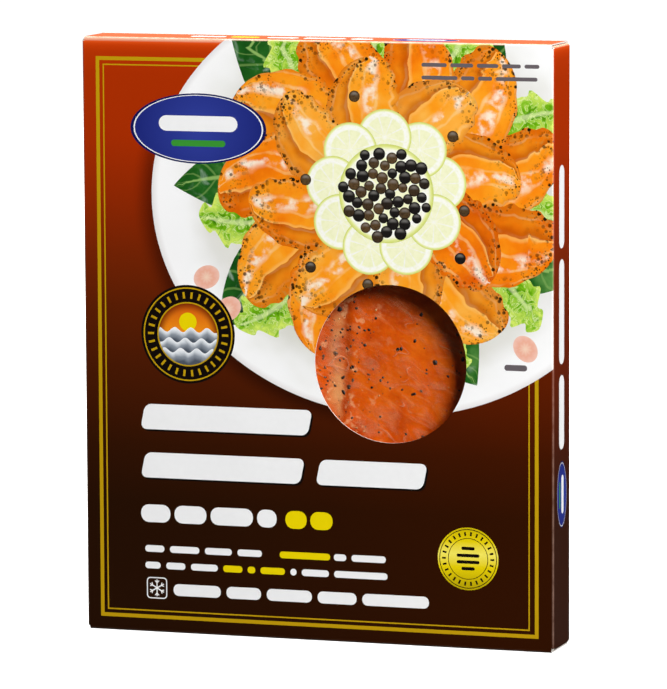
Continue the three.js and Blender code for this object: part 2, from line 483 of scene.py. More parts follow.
# %% [markdown]
# Printing on the blank
#
# The press lays its inks on the flat blank, one shape over another, so a later shape covers an earlier
# one. The list below is that order. A shape holds its outline, its ink, the panel that it is trimmed
# to, and a rule that turns a place on the blank into the ink's own pattern coordinates, such as how far
# along and how far across a leaf the place lies.

# %% Keep the list of printed shapes
shapes = []
MIDDLE = QUARTER / 2
panels = {
    "left": (left_start - MIDDLE, left_end + MIDDLE, 0, HEIGHT),
    "front": (front_start - MIDDLE, front_end + MIDDLE, FOLD - MIDDLE, HEIGHT - FOLD + MIDDLE),
    "right": (right_start - MIDDLE, right_end + MIDDLE, 0, HEIGHT),
    "back": (back_start - MIDDLE, back_end, 0, HEIGHT),
    "top": (front_start, front_end, HEIGHT - FOLD + MIDDLE, HEIGHT - front_low),
    "bottom": (front_start, front_end, front_low, FOLD - MIDDLE),
}


def paint(panel, outline, ink, local=None, tone=0.5):
    """Adds a printed shape. Local gives (along, across, share of the half width) for places on it."""
    shapes.append({"panel": panel, "outline": np.array(outline), "ink": ink, "local": local, "tone": tone})


def block(u0, v0, u1, v1, corner=0.0, slant=0.0):
    """A box with round corners. Each corner is a quarter circle of five points, and slant leans the
    box by that much for each millimetre up."""
    corner = max(1e-3, min(corner, abs(u1 - u0) / 2, abs(v1 - v0) / 2))
    points = []
    for k, (u, v) in enumerate(((u1, v1), (u0, v1), (u0, v0), (u1, v0))):
        centre = np.array([u - np.sign(u - u0 - 1e-6) * corner, v - np.sign(v - v0 - 1e-6) * corner])
        points.append(centre + corner * ray(np.pi / 2 * (k + np.linspace(0, 1, 5))))
    points = np.vstack(points)
    points[:, 0] += slant * (points[:, 1] - v0)
    return points


def on_disc(centre, radius, squash=1.0):
    """Pattern coordinates on a disc or an ellipse: how far right of its middle and how far above, in
    radii."""

    def local(places):
        away = (places - np.array(centre)) / (radius, radius * squash)
        return np.column_stack([away, np.zeros(len(away))])

    return local


def frame_line(panel, u0, v0, u1, v1, width):
    """A gold line round a box, as two upright strips and two level ones."""
    for u in (u0, u1 - width):
        paint(panel, block(u, v0, u + width, v1), "gold")
    for v in (v0, v1 - width):
        paint(panel, block(u0, v, u1, v + width), "gold")


# %% [markdown]
# The front's frame, and the plate in the picture
#
# Two gold lines run round the front. A large white plate lies over them and runs off the panel at the
# top and at the right. It is an ellipse, because the dish was seen at a slant. The soft shade beside
# it is a slightly larger ellipse under both, whose ink fades from the rim outwards, up the panel and
# to the right.

# %% Print the frame and the plate
PLATE = (119.0, 162.5)
PLATE_RADIUS = 92.3
PLATE_SQUASH = 0.851
SHADE_REACH = 1.09
GOLD_WIDE, GOLD_FINE = 1.4, 0.5
on_plate = on_disc(PLATE, PLATE_RADIUS, PLATE_SQUASH)


def plate_ring(share):
    """The ellipse at that share of the plate's radius."""
    return circle(PLATE, PLATE_RADIUS * share, 200, PLATE_SQUASH)


paint("front", plate_ring(SHADE_REACH), "shade", on_plate)
frame_line("front", 5.3, 5.0, 174.3, 212.8, GOLD_WIDE)
frame_line("front", 8.0, 7.7, 171.0, 210.1, GOLD_FINE)
paint("front", plate_ring(1.0), "plate", on_plate)

# %% [markdown]
# The dish on the plate
#
# A carton like this shows a serving suggestion. Here it is a plain rosette of the kitchen's usual
# kind: rings of leaves, rings of folded slices, and rounds of lemon about a heap of dark berries. Every
# leaf and slice is the same rule with other numbers. Its middle line leaves the rosette's centre at a
# bearing and swirls a little on its way out, and its width rises and falls along it.


# %% The rule for one petal
def petal(centre, bearing, inner, outer, half_width, swirl, fullness, lean, count=26, ruffle=0.0):
    """Outline and pattern rule of a petal between two radii. At the share s of the way out, the middle
    line's bearing is bearing + swirl * s squared, and the half width is half_width times
    sin(pi * s ** lean) ** fullness, with ruffle as the depth of small waves on its edge."""

    def wide(s):
        s = np.clip(s, 1e-4, 1 - 1e-4)
        waves = 1 + ruffle * np.sin(34 * s) + 0.6 * ruffle * np.sin(55 * s + 1)
        return half_width * np.sin(np.pi * s**lean) ** fullness * waves

    def outline():
        s = 0.5 - 0.5 * np.cos(np.linspace(0, np.pi, count))
        radius = inner + (outer - inner) * s
        sides = []
        for side in (1, -1):
            angle = bearing + swirl * s**2 + side * wide(s) / radius
            sides.append(centre + radius[:, None] * ray(angle))
        return np.vstack([sides[0], sides[1][-2:0:-1]])

    def local(places):
        away = places - centre
        radius = np.hypot(*away.T)
        s = (radius - inner) / (outer - inner)
        off = np.arctan2(away[:, 1], away[:, 0]) - bearing - swirl * s**2
        across = ((off + np.pi) % (2 * np.pi) - np.pi) * radius
        share = np.clip(across / wide(s), -1.5, 1.5)
        return np.column_stack([s, across / half_width, share])

    return outline(), local


# %% Print the rosette
DISH = np.array([117.0, 165.0])
rng = np.random.default_rng(4)


def ring_of_petals(ink, petals, start, inner, outer, half_width, swirl, fullness, lean, **more):
    """Petals at even bearings about the dish, each a little unlike the last."""
    for k in range(petals):
        bearing = start + 2 * np.pi * k / petals + rng.uniform(-0.04, 0.04)
        reach = outer * rng.uniform(0.95, 1.04)
        girth = half_width * rng.uniform(0.92, 1.08)
        outline, local = petal(DISH, bearing, inner, reach, girth, swirl, fullness, lean, **more)
        paint("front", outline, ink, local, rng.uniform())


def round_spot(centre, radius, count, ink):
    """A disc on the front with a tone of its own."""
    paint("front", circle(centre, radius, count), ink, on_disc(centre, radius), rng.uniform())


ring_of_petals("leaf", 9, 0.2, 30, 79, 14.5, 0.10, 0.95, 0.9)
ring_of_petals("frill", 11, 0.55, 34, 74, 9.0, -0.12, 0.55, 1.3, ruffle=0.22, count=60)
ring_of_petals("slice", 11, 0.1, 20, 67, 15.5, 0.22, 0.40, 1.3, ruffle=0.04, count=40)
ring_of_petals("slice", 8, 0.35, 14, 51, 14.5, -0.24, 0.40, 1.2, ruffle=0.04, count=40)

LEMONS, LEMON_RADIUS, LEMONS_AWAY = 9, 10.2, 20.5
for k in range(LEMONS):
    round_spot(DISH + LEMONS_AWAY * ray(2 * np.pi * k / LEMONS + 0.2), LEMON_RADIUS, 40, "lemon")
paint("front", circle(DISH, 18, 60), "lemon", on_disc(DISH, 18), 0.5)

GOLDEN_TURN = np.pi * (3 - 5**0.5)
BERRIES, BERRY_SPACING = 52, 2.3
for k in range(BERRIES):
    away = BERRY_SPACING * np.sqrt(k + 0.4)
    round_spot(DISH + away * ray(k * GOLDEN_TURN), rng.uniform(1.8, 2.4), 18, "berry")
for bearing, away in ((0.7, 33), (1.9, 37), (3.0, 31), (3.9, 40), (4.5, 34), (5.6, 36), (6.1, 30)):
    round_spot(DISH + away * ray(bearing), 2.1, 18, "berry")
BLUSH_RADIUS, BLUSH_AWAY = 5.2, 0.86
for bearing in (3.6, 3.8, 5.4):
    centre = PLATE + BLUSH_AWAY * PLATE_RADIUS * (ray(bearing) * (1, PLATE_SQUASH))
    shape = circle(centre, BLUSH_RADIUS, 36, 0.8, bearing)
    paint("front", shape, "blush", on_disc(centre, BLUSH_RADIUS), rng.uniform())
print("dish shapes", len(shapes))

# %% [markdown]
# Plaque, badge, seal and rows of bars
#
# The rest of the front's print is plain: an oval plaque, a round badge with the sun over waves, a gold
# seal and rows of bars with round ends. They share five short rules. A title bar leans like an italic
# and has a dark copy of itself a little below and to the right, which lifts it off the ground.


# %% Rows of bars
def bars(panel, u, v, height, gap, ink, *lengths, upright=False):
    """Bars with round ends from a starting place, one after another, or downwards when upright."""
    corner = 0.45 * height
    for length in lengths:
        if upright:
            paint(panel, block(u, v - length, u + height, v, corner), ink)
            v -= length + gap
        else:
            paint(panel, block(u, v, u + length, v + height, corner), ink)
            u += length + gap


def title(u, v, *lengths):
    """Title bars that lean, each with a dark copy behind it."""
    height, gap, corner, slant = 9.4, 6.0, 2.4, 0.2
    for ink, shift in (("dark", 0.7), ("white", 0.0)):
        place = u
        for length in lengths:
            outline = block(place, v, place + length, v + height, corner, slant)
            paint("front", outline + np.array([shift, -shift]), ink)
            place += length + gap


def plaque(panel, centre, half_width, half_height, upright=False):
    """A blue oval with a thin white line inside its rim and two bars."""
    squash = half_height / half_width
    turn = np.pi / 2 if upright else 0.0
    for share, ink in ((1.0, "navy"), (0.955, "white"), (0.935, "blue")):
        paint(panel, circle(centre, half_width * share, 72, squash, turn), ink, on_disc(centre, half_width))
    for half, tall, lift, ink in ((0.58, 0.22, 0.14, "white"), (0.40, 0.09, -0.42, "green")):
        middle = np.array([0, lift * half_height])
        reach = np.array([half * half_width, tall * half_height])
        if upright:
            middle, reach = middle[::-1], reach[::-1]
        low, high = centre + middle - reach, centre + middle + reach
        paint(panel, block(*low, *high, tall * half_height), ink)


def spokes(centre, inner, outer, count, half_width, ink, first=0.0, reach=2 * np.pi):
    """Short radial bars round a centre on the front."""
    for k in range(count):
        out = ray(first + reach * k / count)
        side = half_width * np.array([-out[1], out[0]])
        near, far = centre + inner * out, centre + outer * out
        paint("front", [near - side, far - side, far + side, near + side], ink)


def rings(centre, count, whole, *radii_and_inks):
    """Discs about one centre on the front, from the largest to the smallest. Whole is the radius that
    their patterns count as one, or nothing for each disc's own."""
    for radius, ink in radii_and_inks:
        paint("front", circle(centre, radius, count), ink, on_disc(centre, whole or radius))


# %% Print the plaque, the badge and the seal
PLAQUE_SIZE = (26.3, 12.9)
plaque("front", (45.0, 187.0), *PLAQUE_SIZE)

BADGE = (40.4, 111.3)
rings(BADGE, 72, None, (18.2, "dark"), (17.3, "gold"), (16.8, "dark"), (11.9, "gold"), (11.4, "sun"))
spokes(BADGE, 13.2, 15.6, 30, 0.42, "gold")


def water(centre, radius, level, phase):
    """Outline of water in a disc, under a wavy line, and its pattern rule. At x the line's height is
    level + 0.9 * sin(x + phase), and the pattern's second part is the depth under it in sixths."""

    def crest(x):
        return level + 0.9 * np.sin(x + phase)

    x = np.linspace(-radius, radius, 90)
    line = np.column_stack([x, crest(x)])[np.hypot(x, crest(x)) < radius - 0.05]
    last, first = np.arctan2(line[-1, 1], line[-1, 0]), np.arctan2(line[0, 1], line[0, 0])
    shore = radius * ray(np.linspace(last, first - 2 * np.pi * (first > 0), 40)[1:-1])

    def local(places):
        away = places - np.array(centre)
        return np.column_stack([away[:, 0], (crest(away[:, 0]) - away[:, 1]) / 6, 0 * away[:, 0]])

    return np.vstack([line, shore]) + np.array(centre), local


paint("front", circle((BADGE[0], BADGE[1] + 4.6), 3.4, 40), "yellow")
for level, phase in ((1.6, 0.4), (-2.2, 2.6), (-6.0, 4.5)):
    outline, local = water(BADGE, 11.4, level, phase)
    paint("front", outline, "water", local)

FOIL = (147.7, 33.0)
rings(FOIL, 60, 11.5, (11.5, "seal"), (10.9, "dark"), (10.6, "seal"), (7.6, "dark"), (7.35, "seal"))
spokes(FOIL, 8.4, 9.9, 26, 0.34, "dark")
for width, level in ((5.0, 36.2), (8.6, 33.6), (8.6, 31.2), (5.0, 28.8)):
    paint("front", block(FOIL[0] - width / 2, level, FOIL[0] + width / 2, level + 1.2, 0.5), "dark")


# %% Print the front's bars
title(21.5, 75.6, 65.0)
title(21.5, 57.6, 62.0, 41.0)
for row in (
    (21.5, 41.0, 6.6, 1.6, "white", 11.5, 12.5, 16.5, 7.6),
    (77.8, 41.0, 6.6, 1.4, "yellow", 8.2, 8.6),
    (23.0, 29.9, 2.5, 2.2, "white", 7.5, 11.5, 10.5, 9.5),
    (75.5, 29.9, 2.5, 2.2, "yellow", 19.5),
    (96.4, 29.9, 2.5, 2.0, "white", 4.8, 13.2),
    (23.0, 23.7, 2.5, 2.2, "white", 6.0, 7.5, 10.5),
    (53.5, 23.7, 2.5, 2.0, "yellow", 7.5, 3.0, 9.5),
    (79.6, 23.7, 2.5, 2.0, "white", 2.4, 10.5, 20.5),
    (34.0, 13.9, 4.4, 2.2, "white", 18.5, 13.5, 17.5, 15.0, 25.5),
    (130.5, 211.2, 1.4, 1.4, "grey", 9.5, 8.5, 8.0, 7.0, 5.5),
    (130.5, 206.6, 1.4, 1.4, "grey", 13.5, 5.0, 5.2, 15.5),
    (161.5, 102.2, 2.2, 2.2, "grey", 8.5),
):
    bars("front", *row)

FROST = (27.5, 16.5)
paint("front", block(23.5, 12.5, 31.5, 20.5, 1.4), "white")
paint("front", block(23.9, 12.9, 31.1, 20.1, 1.1), "ground")
spokes(FROST, 0.0, 3.1, 6, 0.22, "white", np.pi / 6)
for arm in range(6):
    angle = np.pi / 6 + np.pi / 3 * arm
    spokes(FROST + 1.9 * ray(angle), 0.0, 1.15, 2, 0.18, "white", angle - 0.75, 3.0)


# %% Print the other panels
for panel, middle, beside in (
    ("right", (right_start + right_end) / 2, 3.4),
    ("left", (left_start + left_end) / 2, 3.2),
):
    bars(panel, middle - beside, 176, 6.4, 4.0, "white", 30.0, 38.0, 27.0, upright=True)
    plaque(panel, (middle, 56.5), 12.2, 6.2, upright=True)

TOP_MIDDLE = HEIGHT - FOLD + QUARTER + closure / 2
bars("top", 39.0, TOP_MIDDLE - 2.4, 4.8, 2.2, "white", 13.5)
bars("top", 54.5, TOP_MIDDLE - 2.4, 4.8, 2.2, "yellow", 11.0)
bars("top", 68.5, TOP_MIDDLE - 2.4, 4.8, 2.0, "white", 12.0, 16.0, 8.5)
plaque("top", (129.0, TOP_MIDDLE), 13.0, 6.6)
BOTTOM_MIDDLE = FOLD - QUARTER - closure / 2
bars("bottom", 52.0, BOTTOM_MIDDLE - 2.4, 4.8, 3.0, "white", 19.0, 26.0, 17.0)

BACK = back_start
frame_line("back", BACK + 4.5, 5.0, BACK + 173.5, 213.3, GOLD_WIDE)
frame_line("back", BACK + 7.2, 7.7, BACK + 170.2, 210.6, GOLD_FINE)
plaque("back", (BACK + 89.0, 190.0), *PLAQUE_SIZE)
bars("back", BACK + 45.0, 164.0, 6.6, 3.0, "white", 24.0, 32.0, 27.0)
for row, lengths in enumerate(((22, 14, 30, 9, 26), (12, 27, 18, 24, 20), (30, 8, 22, 19, 12))):
    bars("back", BACK + 32.0, 152.5 - 6.2 * row, 2.5, 2.4, "white", *lengths)
paint("back", block(BACK + 24.0, 46.0, BACK + 154.0, 128.0, 3.0), "cream")
for row in range(8):
    level = 119.0 - 9.0 * row
    paint("back", block(BACK + 29.0, level - 3.0, BACK + 149.0, level - 2.7), "dark")
    bars("back", BACK + 31.0, level, 2.6, 2.0, "dark", 16 + 5 * (row % 3), 12 + 4 * (row % 2))
    bars("back", BACK + 112.0, level, 2.6, 2.2, "dark", 9 + 3 * (row % 2))
    bars("back", BACK + 136.0, level, 2.6, 2.2, "dark", 10 - 2 * (row % 2))
for row, lengths in enumerate(((28, 12, 34, 21), (17, 33, 10, 26), (24, 19, 29))):
    bars("back", BACK + 32.0, 35.0 - 6.2 * row, 2.5, 2.4, "white", *lengths)
print("printed shapes", len(shapes))

# %% [markdown]
# The inks
#
# All inks lie under one soft varnish, so they share their gloss and the faint waves and pores of the
# board, and differ in colour alone. A pattern reads the map named blank, which holds the place on the
# flat blank, or the attribute named pattern, which holds a shape's own coordinates and its tone.

# %% Varnish, and what every ink reads
VARNISH = 0.1
RUBBED_AND_HIGHLIGHT = 0.3


class Ink(Shader):
    """A printed ink. It knows the place on the blank, in units of its height, and the shape's own
    pattern: three coordinates and a tone. On a disc the first two also give the distance from its
    middle and the turn, as a share of a full one."""

    def __init__(self, name):
        super().__init__("ink " + name)
        self.place = self.add("UVMap", {"uv_map": "blank"})
        self.across, self.up, _ = self.parts(self.place)
        self.x, self.y, self.share = self.parts(self.attribute("pattern", "Vector"))
        self.tone = self.attribute("pattern", "Alpha")
        self.radius = self.math("SQRT", self.scaled(self.x, self.x, self.times(self.y, self.y)))
        self.turn = self.math("DIVIDE", self.math("ARCTAN2", self.y, self.x), 2 * np.pi)

    def specks(self, size, radius):
        """1 inside small round specks, one in each cell of that size on the blank, else 0."""
        sockets = {"Vector": self.place, "Scale": HEIGHT / size}
        return self.grey(self.add("TexVoronoi", None, sockets, out="Distance"), radius * 1.5, radius)

    def varnished(self, colour):
        """The colour under a soft gloss, with the board's waves and pores. On the folds a pale colour is laid
        over the ink, partly as rubbed ink where the board shows through and partly as a painted highlight,
        which is most of it on the front's top fold."""
        solid = self.solid
        grain = self.grey(self.noise(210, 4.0, solid), 0.05, 0.7)
        waves = self.scaled(self.noise(1100, 2.0, solid), 0.012, self.noise(28, 1.0, solid))
        # Pale colour on the folds: partly rubbed ink, partly a painted highlight.
        return self.finish(
            Base_Color=self.layers(colour, ((238, 196, 176), grain, RUBBED_AND_HIGHLIGHT, self.attribute("fold"))),
            Roughness=self.scaled(self.noise(60, 3.0, solid), 0.08, 0.26),
            Normal=self.bump(0.35, 0.0016, waves),
            Specular_IOR_Level=VARNISH,
        )


# From 0.975 up the stops paint a highlight: the front grows lighter towards a pale line just below the top
# fold. The last stop, the top panel's ink, is lighter than the front's top, which paints in part of the light
# on it.
GROUND_STOPS = (
    (0.0, (37, 16, 4)),
    (0.22, (38, 16, 3)),
    (0.32, (50, 19, 3)),
    (0.45, (74, 26, 4)),
    (0.55, (93, 31, 4)),
    (0.64, (118, 36, 4)),
    (0.73, (146, 41, 3)),
    (0.83, (169, 46, 2)),
    (0.94, (174, 48, 2)),
    (0.975, (186, 53, 4)),
    (0.987, (204, 62, 7)),
    (0.9925, (232, 84, 24)),
    (0.995, (250, 176, 140)),
    (0.998, (252, 206, 180)),
    (1.0, (232, 84, 22)),
)
WARMTH = (1.65, 1.12, 0.4, 1.0)


def ink_ground(ink):
    """The carton's ground: from dark brown at the foot to orange red at the top, with a painted highlight as
    a pale line just below the top fold, and a lighter ink on the top panel that paints in part of the light
    on it. Low down it is warmer on the right. That share is (1 - cos of the way round the sleeve) / 2, so
    that it meets itself."""
    colour = ink.ramp(ink.up, *GROUND_STOPS)
    way_round = ink.times(ink.across, np.pi * HEIGHT / (WIDTH + DEPTH))
    right = ink.scaled(ink.math("COSINE", way_round), -0.5, 0.5)
    warm = ink.times(right, ink.grey(ink.up, 0.68, 0.42))
    return ink.mix(warm, colour, ink.mix(1.0, colour, WARMTH, "MULTIPLY"))


def ink_shade(ink):
    """The ground in the plate's shade, which fades over a few millimetres from the rim, up the panel
    and to the right."""
    beyond = ink.grey(ink.radius, 0.99, SHADE_REACH)
    lit = ink.most(beyond, ink.grey(ink.up, 0.74, 0.92), ink.grey(ink.across, 0.5, 0.66))
    ground = ink_ground(ink)
    return ink.mix(lit, ink.mix(0.62, ground, (10, 4, 2)), ground)


# %% Inks of the plate and the dish
def ink_plate(ink):
    """White glaze: bright in the middle, a faint grey ring where the rim begins to rise, and a soft
    shade that the dish throws on it."""
    glaze = ink.ramp(
        ink.radius,
        (0.0, (252, 252, 252)),
        (0.62, (252, 252, 251)),
        (0.78, (246, 245, 245)),
        (0.86, (254, 254, 254)),
        (0.97, (255, 255, 255)),
        (1.0, (234, 231, 230)),
    )
    uneven = ink.scaled(ink.noise(12), 0.1, ink.distance(ink.place, (*DISH / HEIGHT, 0)))
    return ink.layers(glaze, ((186, 186, 158), ink.grey(uneven, 0.43, 0.3), 0.5))


def ink_slice(ink):
    """A folded slice of smoked fish. Fine lines of fat run along it. It falls into shade at its right
    side, at its left rim and towards the dish's middle. A second fold with a pale lip lies over its
    right third, its left has a glossy crest, and coarse pepper sits at its outer end and sides."""
    broad = ink.noise(24, 3.0)
    flesh = ink.ramp(
        ink.scaled(broad, 0.6, ink.times(ink.tone, 0.4)),
        (0.2, (226, 92, 4)),
        (0.42, (250, 132, 12)),
        (0.6, (255, 160, 30)),
        (0.85, (255, 190, 84)),
    )
    bent = ink.math("ADD", ink.share, ink.scaled(ink.noise(16), 0.5, -0.25))
    lines = ink.math("SINE", ink.scaled(bent, 15.0, ink.times(ink.x, 4.0)))
    crest = ink.grey(ink.off(bent, -0.3), 0.3, 0.04)
    spice = ink.most(ink.grey(ink.x, 0.66, 1.0), ink.grey(ink.off(ink.share), 0.62, 0.95))
    patchy = ink.times(spice, ink.grey(ink.noise(26), 0.36, 0.52))
    return ink.layers(
        flesh,
        ((255, 214, 140), ink.grey(lines, 0.7, 1.0), ink.grey(broad, 0.3, 0.65), 0.5),
        ((190, 70, 2), ink.grey(bent, 0.2, 1.0), 0.55),
        ((196, 82, 6), ink.grey(ink.share, -0.8, -1.05), 0.5),
        ((166, 54, 0), ink.grey(bent, 0.30, 0.33), ink.grey(bent, 0.62, 0.36), 0.6),
        ((255, 196, 104), ink.grey(bent, 0.20, 0.29), ink.grey(bent, 0.325, 0.30), 0.55),
        ((150, 52, 0), ink.grey(ink.x, 0.5, 0.1), 0.6),
        ((255, 243, 222), crest, ink.grey(ink.noise(40, 4.0), 0.44, 0.62), 0.9),
        ((196, 150, 70), patchy, ink.grey(ink.noise(130, 3.0), 0.5, 0.62), 0.45),
        ((34, 24, 6), patchy, ink.most(ink.specks(2.1, 0.26), ink.specks(1.2, 0.2))),
    )


def ink_leaf(ink):
    """A dark leaf with a pale rib along its middle and side veins that run outwards from it."""
    side = ink.off(ink.share)
    mottled = ink.scaled(ink.noise(30, 3.0), 0.7, ink.times(ink.tone, 0.3))
    wave = ink.math("SINE", ink.math("SUBTRACT", ink.times(ink.x, 58.0), ink.times(side, 9.0)))
    vein = ink.times(ink.grey(wave, 0.8, 1.0), 0.4)
    return ink.layers(
        ink.ramp(mottled, (0.25, (14, 62, 16)), (0.55, (34, 98, 30)), (0.8, (96, 150, 72))),
        ((140, 180, 96), ink.most(vein, ink.grey(side, 0.1, 0.03))),
        ((206, 228, 210), ink.grey(ink.noise(22, 4.0, Distortion=0.8), 0.55, 0.75), 0.6),
    )


def ink_frill(ink):
    """A curly salad leaf: yellow green, paler towards its ruffled edge, with light crests and a pale
    rib."""
    curls = ink.noise(60, 4.0, Distortion=1.4)
    side = ink.off(ink.share)
    pale = ink.scaled(side, 0.3, curls)
    return ink.layers(
        ink.ramp(pale, (0.32, (38, 104, 8)), (0.55, (118, 184, 22)), (0.9, (214, 236, 104))),
        ((236, 248, 168), ink.grey(ink.off(curls, 0.5), 0.035, 0.0), 0.7),
        ((226, 242, 170), ink.grey(side, 0.16, 0.04), 0.6),
    )


def ink_lemon(ink):
    """A round of lemon: green yellow peel, white pith, and pale wedges between fine white walls."""
    rounds = ink.ramp(
        ink.radius,
        (0.0, (255, 255, 244)),
        (0.12, (250, 250, 216)),
        (0.70, (246, 248, 204)),
        (0.76, (255, 255, 248)),
        (0.89, (254, 254, 240)),
        (0.94, (232, 238, 150)),
        (1.0, (204, 214, 96)),
    )
    wedge = ink.math("FRACT", ink.scaled(ink.turn, 9.0, ink.tone))
    return ink.layers(
        rounds,
        ((252, 252, 244), ink.grey(ink.off(wedge, 0.5), 0.40, 0.48), ink.grey(ink.radius, 0.8, 0.7)),
        ((232, 236, 176), ink.grey(ink.noise(150), 0.45, 0.65), 0.3),
    )


def ink_berry(ink):
    """A dark berry lit from above: brown black, with a soft grey light on its upper half."""
    return ink.layers(
        (30, 27, 26),
        ((92, 70, 44), ink.grey(ink.tone, 0.55, 0.95)),
        ((12, 10, 8), ink.grey(ink.noise(260, 3.0), 0.4, 0.7), 0.45),
        ((176, 172, 166), ink.grey(ink.y, 0.0, 0.7), ink.grey(ink.radius, 0.95, 0.4), 0.5),
        ((8, 6, 5), ink.grey(ink.radius, 0.75, 1.05)),
    )


def ink_blush(ink):
    """A pale pink petal lying on the plate's rim."""
    rays = ink.scaled(ink.math("SINE", ink.times(ink.turn, 60.0)), 0.06, ink.radius)
    return ink.ramp(rays, (0.0, (248, 214, 190)), (0.5, (240, 176, 152)), (0.95, (244, 196, 178)))


# %% Inks of the signs, and all inks
def ink_seal(ink):
    """Gold foil ink with a painted sheen: lighter in a soft band through the middle."""
    # The lighter band is a painted sheen on the foil.
    band = ink.off(ink.y, 0.15)
    return ink.ramp(band, (0.0, (250, 236, 96)), (0.4, (234, 210, 8)), (1.0, (190, 168, 6)))


def ink_sun(ink):
    """The badge's middle: yellow at its foot, orange above and red brown at its rim."""
    height = ink.scaled(ink.y, 0.5, 0.5)
    sky = ink.ramp(height, (0.1, (255, 200, 40)), (0.6, (242, 138, 22)), (1.0, (206, 84, 14)))
    return ink.layers(sky, ((120, 44, 8), ink.grey(ink.radius, 0.7, 1.05)))


def ink_blue(ink):
    """The plaque's blue, a little lighter towards its middle."""
    return ink.ramp(ink.radius, (0.0, (50, 64, 156)), (1.0, (28, 38, 118)))


def ink_water(ink):
    """Silver water: white along each wave's crest and slate grey in its depth."""
    light = ((0.0, (246, 248, 250)), (0.12, (222, 227, 232)))
    return ink.ramp(ink.y, *light, (0.35, (146, 154, 164)), (0.7, (78, 86, 98)))


def ink_flat(ink, colour):
    """One colour with a very faint unevenness of the press."""
    return ink.mix(ink.noise(90, 3.0), linear(colour, 0.95), colour)


def bare_board(name, colour):
    """Uncoated board: matte, with short fibres in its tone."""
    shader = Shader(name)
    fibres = shader.noise(900, 4.0)
    pulp = shader.mix(fibres, linear(colour, 0.86), colour)
    return shader.finish(Base_Color=pulp, Roughness=0.85, Normal=shader.bump(0.25, 0.0001, fibres))


inks = {
    "bare": bare_board("bare board", (226, 222, 214)),
    "edge": bare_board("cut board edge", (232, 226, 218)),
}
for name, rule in {
    "ground": ink_ground,
    "shade": ink_shade,
    "plate": ink_plate,
    "slice": ink_slice,
    "leaf": ink_leaf,
    "frill": ink_frill,
    "lemon": ink_lemon,
    "berry": ink_berry,
    "blush": ink_blush,
    "gold": (196, 156, 14),
    "seal": ink_seal,
    "sun": ink_sun,
    "blue": ink_blue,
    "navy": (16, 22, 84),
    "green": (58, 150, 52),
    "water": ink_water,
    "white": (250, 250, 250),
    "yellow": (240, 216, 4),
    "grey": (104, 96, 100),
    "dark": (18, 12, 10),
    "cream": (236, 226, 200),
}.items():
    ink = Ink(name)
    inks[name] = ink.varnished(rule(ink) if callable(rule) else ink_flat(ink, rule))
ink_names = list(inks)
print("inks", len(inks))

# %% [markdown]
# From outlines to one closed sheet
#
# A constrained triangulation takes all outlines at once and splits the blank into triangles that no
# outline crosses. It also says which outlines each triangle lies in, and the last of these is the ink
# on top. Few triangles then give edges as sharp as print, with no picture. The inner face is split
# again without the print, from the same cut edge, and a strip of board joins the two.


# %% Triangulate the blank
def enclosed(outline):
    """The area inside an outline: half the sum of u dv - v du, positive when it runs counterclockwise."""
    u, v = np.asarray(outline).T
    return 0.5 * np.sum(u * np.roll(v, -1) - v * np.roll(u, -1))


def split(outlines, lines, loose):
    """Triangles between outlines, lines and loose points. Gives the points, the triangles, the numbers
    of the outlines that each triangle lies in, and which given points became each point."""
    points, edges, polygons = [], [], []
    for outline in outlines:
        numbers = list(range(len(points), len(points) + len(outline)))
        points.extend(outline)
        polygons.append(numbers if enclosed(outline) > 0 else numbers[::-1])
    for a, b in lines:
        edges.append((len(points), len(points) + 1))
        points.extend((a, b))
    points.extend(loose)
    vectors = [Vector((float(u), float(v))) for u, v in points]
    made, _, faces, sources, _, owners = delaunay_2d_cdt(vectors, edges, polygons, 0, 1e-4)
    return np.array(made), np.array(faces), owners, sources


def grid(u0, v0, u1, v1, cell):
    """Loose points over a box, a cell apart and half a cell in from its sides."""
    us = np.arange(u0 + cell / 2, u1, cell)
    vs = np.arange(v0 + cell / 2, v1, cell)
    return np.column_stack([part.ravel() for part in np.meshgrid(us, vs)])


def trimmed(places, triangles):
    """The points that triangles use, the triangles with those points' new numbers, each turned so that
    it runs counterclockwise on the blank, and the points' old numbers."""
    used, numbers = np.unique(triangles, return_inverse=True)
    places, triangles = places[used], numbers.reshape(triangles.shape)
    a, b, c = (places[triangles[:, k]] for k in range(3))
    area = (b - a)[:, 0] * (c - a)[:, 1] - (b - a)[:, 1] * (c - a)[:, 0]
    return places, np.where(area[:, None] < 0, triangles[:, ::-1], triangles), used


BARE, GROUND = -2, -1
DISH_CELL, FRONT_CELL, BACK_CELL, INNER_CELL = 2.6, 7.0, 9.0, 12.0
DISH_REACH = (78, 82)


def split_print():
    """The printed face: its points, its triangles, and the number of the shape on top of each. A place
    outside all panels is on a hidden flap, which stays bare."""
    loose = [
        grid(front_start, FOLD, front_end, HEIGHT - FOLD, FRONT_CELL),
        grid(back_start, FOLD, back_end - 1, HEIGHT - FOLD, BACK_CELL),
        grid(*(DISH - DISH_REACH), front_end - 1, HEIGHT - 2, DISH_CELL),
    ]
    outlines = [blank_outline, window_outline] + [shape["outline"] for shape in shapes]
    places, triangles, owners, _ = split(outlines, fold_lines(), np.vstack(loose))
    u, v = places[triangles].mean(axis=1).T
    names = np.full(len(u), "", dtype="U8")
    for name, (u0, u1, v0, v1) in panels.items():
        names[(u > u0) & (u < u1) & (v > v0) & (v < v1)] = name
    top = np.where(names == "", BARE, GROUND)
    for k, owner in enumerate(owners):
        shown = [number - 2 for number in owner if number > 1 and shapes[number - 2]["panel"] == names[k]]
        if shown:
            top[k] = max(shown)
    kept = [0 in owner and 1 not in owner for owner in owners]
    return *trimmed(places, triangles[kept])[:2], top[kept]


places, triangles, on_top = split_print()
print("print", len(places), "points", len(triangles), "triangles")


# %% Close the sheet
def cut_sides(triangles):
    """The triangles' sides that no second triangle shares, in the triangles' own direction."""
    sides = np.vstack([triangles[:, [0, 1]], triangles[:, [1, 2]], triangles[:, [2, 0]]])
    _, first, count = np.unique(np.sort(sides, axis=1), axis=0, return_index=True, return_counts=True)
    return sides[first[count == 1]]


